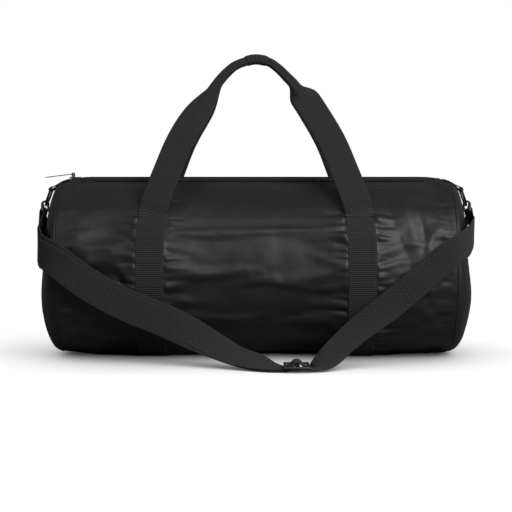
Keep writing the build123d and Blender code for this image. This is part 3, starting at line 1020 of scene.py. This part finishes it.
TAB_RUN = [((261.5, 0, 244.8), (0, 0, 1)), ((266, 0, 243.6), (0.2, 0, 1)),
           ((271, 0, 241.6), (0.4, 0, 0.9)), ((275.6, 0, 239), (0.55, 0, 0.8)),
           ((280, 0, 236.4), (0.45, 0, 0.88)), ((285, 0, 234.6), (0.4, 0, 0.9)),
           ((288.2, 0, 233), (0.8, 0, 0.6)), ((289.2, 0, 231), (1, 0, 0)),
           ((288.4, 0, 229.1), (0.7, 0, -0.7)), ((286.6, 0, 228.4), (0, 0, -1)),
           ((284.6, 0, 229.4), (-0.7, 0, -0.7)), ((283, 0, 231.4), (-0.8, 0, -0.6)),
           ((280, 0, 234.1), (-0.6, 0, -0.8)), ((277.2, 0, 235.8), (-0.5, 0, -0.85))]


def dring_tab(name, side):
    """The webbing tab over the end seam, looped round the D-ring's bar and sewn back."""
    stations = [((side * p[0], p[1], p[2]), (side * n[0], n[1], n[2])) for p, n in TAB_RUN]
    route = route_points(stations, 1.6 * MM)
    tab = ribbon("dring_tab_webbing_" + name, route, width=24.6 * MM, thick=1.5 * MM)
    finish_piece(tab, None, "webbing", WEB, "dring_tab_" + name, "dring_tab_loop_" + name)
    pairs = []
    for place in (2, 5):
        point, facing, tangent = route[place]
        across = facing.cross(tangent).normalized()
        pairs += across_pairs((point, across, facing), 10 * MM, 0.85 * MM)
    threads = capsules("dring_tab_stitches_" + name, pairs, 0.3 * MM)
    finish_piece(threads, "root", "webbing", THREAD)
    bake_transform(tab)


# ------------------------------------------------------- zipper and hardware

def zipper_tape(name, side):
    """The woven tape that carries one row of coil, under the mouth's edge."""
    rows = 90
    widths = [0.9, 2.0, 4.0, 7.0, 10.0, 13.8]
    radius = RADIUS - 3.35 * MM
    points = []
    for i in range(rows):
        x = mix(-262, 262, i / (rows - 1)) * MM
        for w in widths:
            y = w * MM
            points.append(Vector((x, side * y, AXIS + math.sqrt(radius ** 2 - y ** 2))))
    faces = grid_faces(rows, len(widths))
    if side < 0:
        faces = [tuple(reversed(f)) for f in faces]
    uvs = [(points[v].x, points[v].y) for f in faces for v in f]
    obj = new_mesh("zipper_tape_cloth_" + name, points, faces, uvs)
    thicken(obj, 0.6 * MM)
    apply_modifiers(obj)
    finish_piece(obj, "root", "zipper_tape", TAPE, "zipper_tape_" + name)


def zipper_coil(name, side):
    """One row of nylon coil: a flattened helix of monofilament."""
    pitch = 1.7 * MM
    steps = 10
    turns_count = int(2 * CHAIN_HALF / pitch)
    line = []
    for k in range(turns_count * steps + 1):
        turn = TAU * k / steps
        x = -CHAIN_HALF + pitch * k / steps
        y = side * (2.1 - 1.05 * math.cos(turn)) * MM
        line.append(Vector((x, y, CHAIN_Z + 0.62 * MM * math.sin(turn))))
    obj = tube("zipper_coil_" + name + "_wire", line, 0.32 * MM, sides=5, closed=False)
    finish_piece(obj, "root", "zipper_coil", COIL, "zipper_coil_" + name)


def softened(node, name, body, slot, material, width):
    """A copy of a hard CAD part with its edges rounded, as cast or moulded."""
    mesh = frame["nodes"][node].data.copy()
    mesh.name = name
    bm = bmesh.new()
    bm.from_mesh(mesh)
    bmesh.ops.remove_doubles(bm, verts=bm.verts, dist=0.001 * MM)
    bmesh.ops.dissolve_limit(bm, angle_limit=math.radians(1.5), verts=bm.verts, edges=bm.edges)
    joined = [e for e in bm.edges if len(e.link_faces) == 2]
    sharp = [e for e in joined if e.calc_face_angle() > math.radians(30)]
    bmesh.ops.bevel(bm, geom=sharp, offset=width, segments=3, profile=0.5, affect="EDGES",
                    clamp_overlap=True)
    bm.to_mesh(mesh)
    bm.free()
    mesh.polygons.foreach_set("use_smooth", [True] * len(mesh.polygons))
    mesh.set_sharp_from_angle(angle=math.radians(35))
    obj = bpy.data.objects.new(name, mesh)
    bpy.context.scene.collection.objects.link(obj)
    return finish_piece(obj, body, slot, material, node)


def dress(node, material):
    """Give a CAD part that stays in view its finish."""
    for place in frame["nodes"][node].material_slots:
        place.material = material


def hardware():
    """Round the edges of the larger castings, and finish the CAD parts that stay in view."""
    softened("zipper_slider", "slider_casting", "slider", "dark_metal", METAL, 0.35 * MM)
    softened("zipper_puller", "puller_casting", "puller", "dark_metal", METAL, 0.25 * MM)
    softened("zipper_stops", "stop_crimps", "root", "dark_metal", METAL, 0.4 * MM)
    softened("strap_adjuster", "adjuster_frame", "strap", "black_plastic", PLASTIC, 1.1 * MM)
    for name in SIDES:
        base = "hook_base_" + name
        softened(base, "hook_base_casting_" + name, "strap", "dark_metal", METAL, 0.6 * MM)
        for node in ("dring_", "snap_hook_", "hook_gate_"):
            dress(node + name, METAL)


rest, moved = barrel_cloth()
skin = barrel_panel(held_cloth(rest, moved))
topstitching(skin)
for name, side in SIDES.items():
    end_panel(name, side)
    seam_piping(name, side)
    binding(name, side)
    handle_band(name, side)
    dring_tab(name, side)
for name, side in FACES.items():
    handle(name, side)
    zipper_tape(name, side)
    zipper_coil(name, side)
shoulder_strap()
hardware()


# ----------------------------------------------------------- floor and light

def backdrop():
    """White paper; its own glow shows only to the camera, and fades beside the bag where ambient
    occlusion dims it into a painted contact shadow.
    """
    left, right, near, far = -1.5, 1.5, -2.6, 0.9
    floor = new_mesh("floor", [(left, near, 0), (right, near, 0), (right, far, 0), (left, far, 0)],
                     [(0, 1, 2, 3)], flat=True)
    paper = Nodes("pale_floor", (0.2, 0.2, 0.2), 0.9)
    place = paper.node("ShaderNodeTexCoord").outputs["Object"]
    paper.link(paper.bump(paper.noise(place, 60.0), 0.2 * MM, 0.1), "Normal")
    paper.shader.inputs["Specular IOR Level"].default_value = 0.0
    seen = paper.node("ShaderNodeLightPath").outputs["Is Camera Ray"]
    # Ambient occlusion darkens the glow next to the bag: a painted contact shadow.
    clear = paper.node("ShaderNodeAmbientOcclusion", {"Distance": 0.16}).outputs["AO"]
    shade = paper.math("MULTIPLY", paper.math("POWER", clear, 0.8), 0.93)
    strength = paper.math("MULTIPLY", seen, shade)
    glow = paper.node("ShaderNodeEmission", {"Strength": strength})
    both = paper.node("ShaderNodeAddShader", {0: glow.outputs[0], 1: paper.shader.outputs[0]})
    paper.tree.links.new(both.outputs[0], paper.tree.nodes["Material Output"].inputs["Surface"])
    floor.data.materials.append(paper.material)


def area_light(name, place, aim, size, power):
    """A soft rectangular light at a place, turned towards a point."""
    light = bpy.data.lights.new(name, "AREA")
    light.shape = "RECTANGLE"
    light.size, light.size_y = size
    light.energy = power
    obj = bpy.data.objects.new(name, light)
    bpy.context.scene.collection.objects.link(obj)
    obj.location = place
    obj.rotation_euler = (Vector(aim) - Vector(place)).to_track_quat("-Z", "Y").to_euler()
    return obj


def lights():
    """A soft white surround, a large key light at the upper front right and a weak fill."""
    world = bpy.data.worlds.new("studio")
    world.use_nodes = True
    tree = world.node_tree
    soft = tree.nodes["Background"]
    soft.inputs["Color"].default_value = (1, 1, 1, 1)
    soft.inputs["Strength"].default_value = 0.21
    plain = tree.nodes.new("ShaderNodeBackground")
    plain.inputs["Color"].default_value = (1, 1, 1, 1)
    plain.inputs["Strength"].default_value = 1.0
    path = tree.nodes.new("ShaderNodeLightPath")
    both = tree.nodes.new("ShaderNodeMixShader")
    tree.links.new(path.outputs["Is Camera Ray"], both.inputs[0])
    tree.links.new(soft.outputs[0], both.inputs[1])
    tree.links.new(plain.outputs[0], both.inputs[2])
    tree.links.new(both.outputs[0], tree.nodes["World Output"].inputs["Surface"])
    bpy.context.scene.world = world
    bpy.context.scene.view_settings.view_transform = "Standard"
    area_light("key", (1.5, -2.0, 1.65), (0, 0, 0.12), (1.7, 1.7), 98)
    area_light("fill", (-1.0, -1.4, 2.4), (0, 0, 0.1), (1.6, 1.2), 9)


def camera():
    """A long lens in front, a little above the bag and looking slightly down."""
    data = bpy.data.cameras.new("camera")
    data.lens = 110.2
    data.sensor_width = 36
    obj = bpy.data.objects.new("camera", data)
    bpy.context.scene.collection.objects.link(obj)
    obj.location = (0, -2.2, 0.3)
    obj.rotation_euler = (math.radians(90 - 4.2337), 0, 0)
    bpy.context.scene.camera = obj


backdrop()
lights()
camera()
